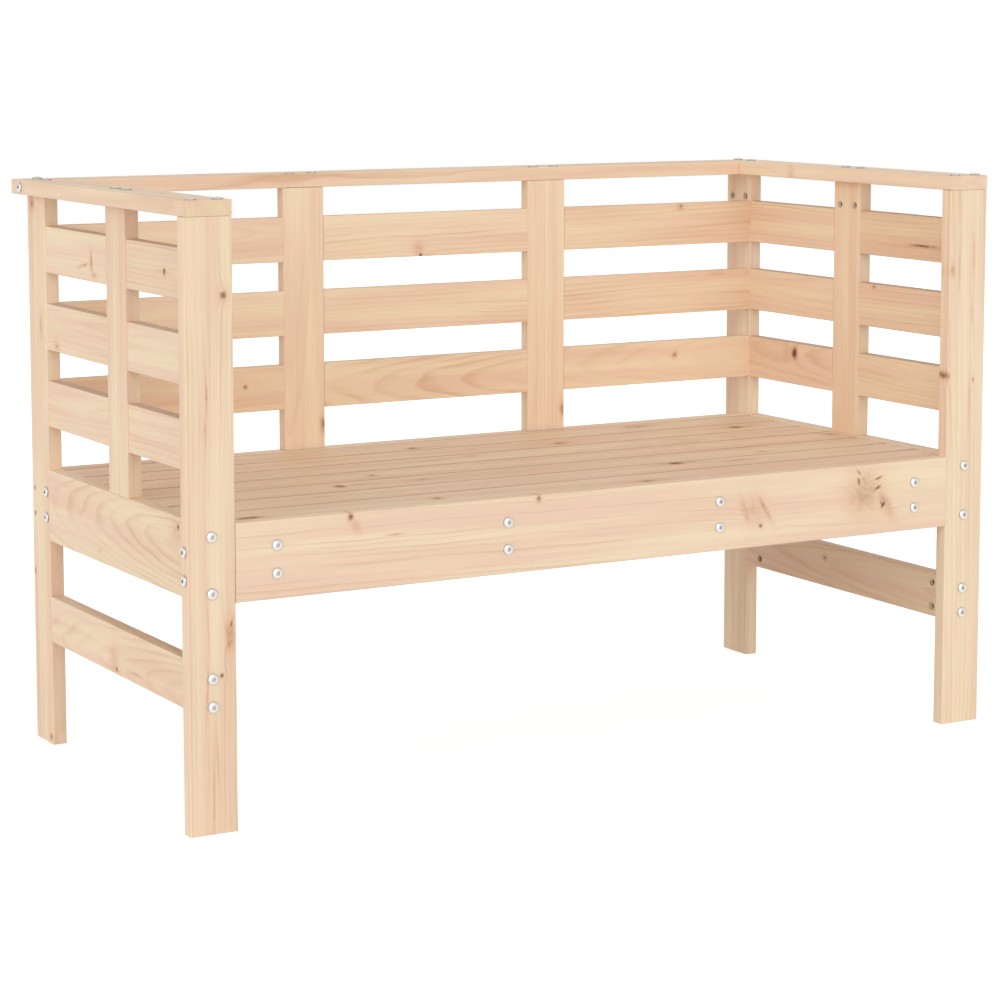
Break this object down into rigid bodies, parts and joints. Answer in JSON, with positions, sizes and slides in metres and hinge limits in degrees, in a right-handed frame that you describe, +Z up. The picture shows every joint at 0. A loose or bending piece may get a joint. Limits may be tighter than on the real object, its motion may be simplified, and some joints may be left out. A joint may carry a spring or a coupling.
{
  "type": "garden bench",
  "caption": "Wooden garden bench of bolted planed boards: boxy frame with flat arm caps and rail of one height, horizontal slats at back and sides, and a slatted seat.",
  "frame": {"origin": "on the ground, in the middle of the bench's width and depth", "axes": "+X along the bench towards the sitter's left, which is the viewer's right; +Y from the front to the back; +Z up"},
  "size_m": [1.1202, 0.5326, 0.71],
  "materials": {
    "pine_legs": "planed and untreated, dull",
    "pine_caps": "planed and untreated, dull",
    "pine_aprons": "planed and untreated, dull",
    "pine_stiles": "planed and untreated, dull",
    "pine_slats": "planed and untreated, dull",
    "pine_seat": "planed and untreated, dull",
    "pine_bearers": "planed and untreated, dull",
    "zinc_steel": "bright zinc plating, smooth"
  },
  "bodies": {
    "root": {"arm_cap_left": "pine_caps", "arm_cap_right": "pine_caps", "back_apron": "pine_aprons", "back_post_left": "pine_legs", "back_post_right": "pine_legs", "back_rail": "pine_caps", "back_slat_bottom_centre": "pine_slats", "back_slat_bottom_left": "pine_slats", "back_slat_bottom_right": "pine_slats", "back_slat_middle_centre": "pine_slats", "back_slat_middle_left": "pine_slats", "back_slat_middle_right": "pine_slats", "back_slat_top_centre": "pine_slats", "back_slat_top_left": "pine_slats", "back_slat_top_right": "pine_slats", "back_stile_left": "pine_stiles", "back_stile_right": "pine_stiles", "bearer_1": "pine_bearers", "bearer_2": "pine_bearers", "bearer_3": "pine_bearers", "bearer_4": "pine_bearers", "bearer_bolt_1_lower": "zinc_steel", "bearer_bolt_1_upper": "zinc_steel", "bearer_bolt_2_lower": "zinc_steel", "bearer_bolt_2_upper": "zinc_steel", "bearer_bolt_3_lower": "zinc_steel", "bearer_bolt_3_upper": "zinc_steel", "bearer_bolt_4_lower": "zinc_steel", "bearer_bolt_4_upper": "zinc_steel", "cap_bolt_left": "zinc_steel", "cap_bolt_right": "zinc_steel", "front_apron": "pine_aprons", "front_leg_left": "pine_legs", "front_leg_right": "pine_legs", "seat_slat_1": "pine_seat", "seat_slat_2": "pine_seat", "seat_slat_3": "pine_seat", "seat_slat_4": "pine_seat", "seat_slat_5": "pine_seat", "seat_slat_6": "pine_seat", "seat_slat_7": "pine_seat", "side_apron_left": "pine_aprons", "side_apron_right": "pine_aprons", "side_slat_left_bottom_back": "pine_slats", "side_slat_left_bottom_front": "pine_slats", "side_slat_left_middle_back": "pine_slats", "side_slat_left_middle_front": "pine_slats", "side_slat_left_top_back": "pine_slats", "side_slat_left_top_front": "pine_slats", "side_slat_right_bottom_back": "pine_slats", "side_slat_right_bottom_front": "pine_slats", "side_slat_right_middle_back": "pine_slats", "side_slat_right_middle_front": "pine_slats", "side_slat_right_top_back": "pine_slats", "side_slat_right_top_front": "pine_slats", "side_stile_left": "pine_stiles", "side_stile_right": "pine_stiles", "side_stretcher_left": "pine_aprons", "side_stretcher_right": "pine_aprons"}
  },
  "joints": []
}
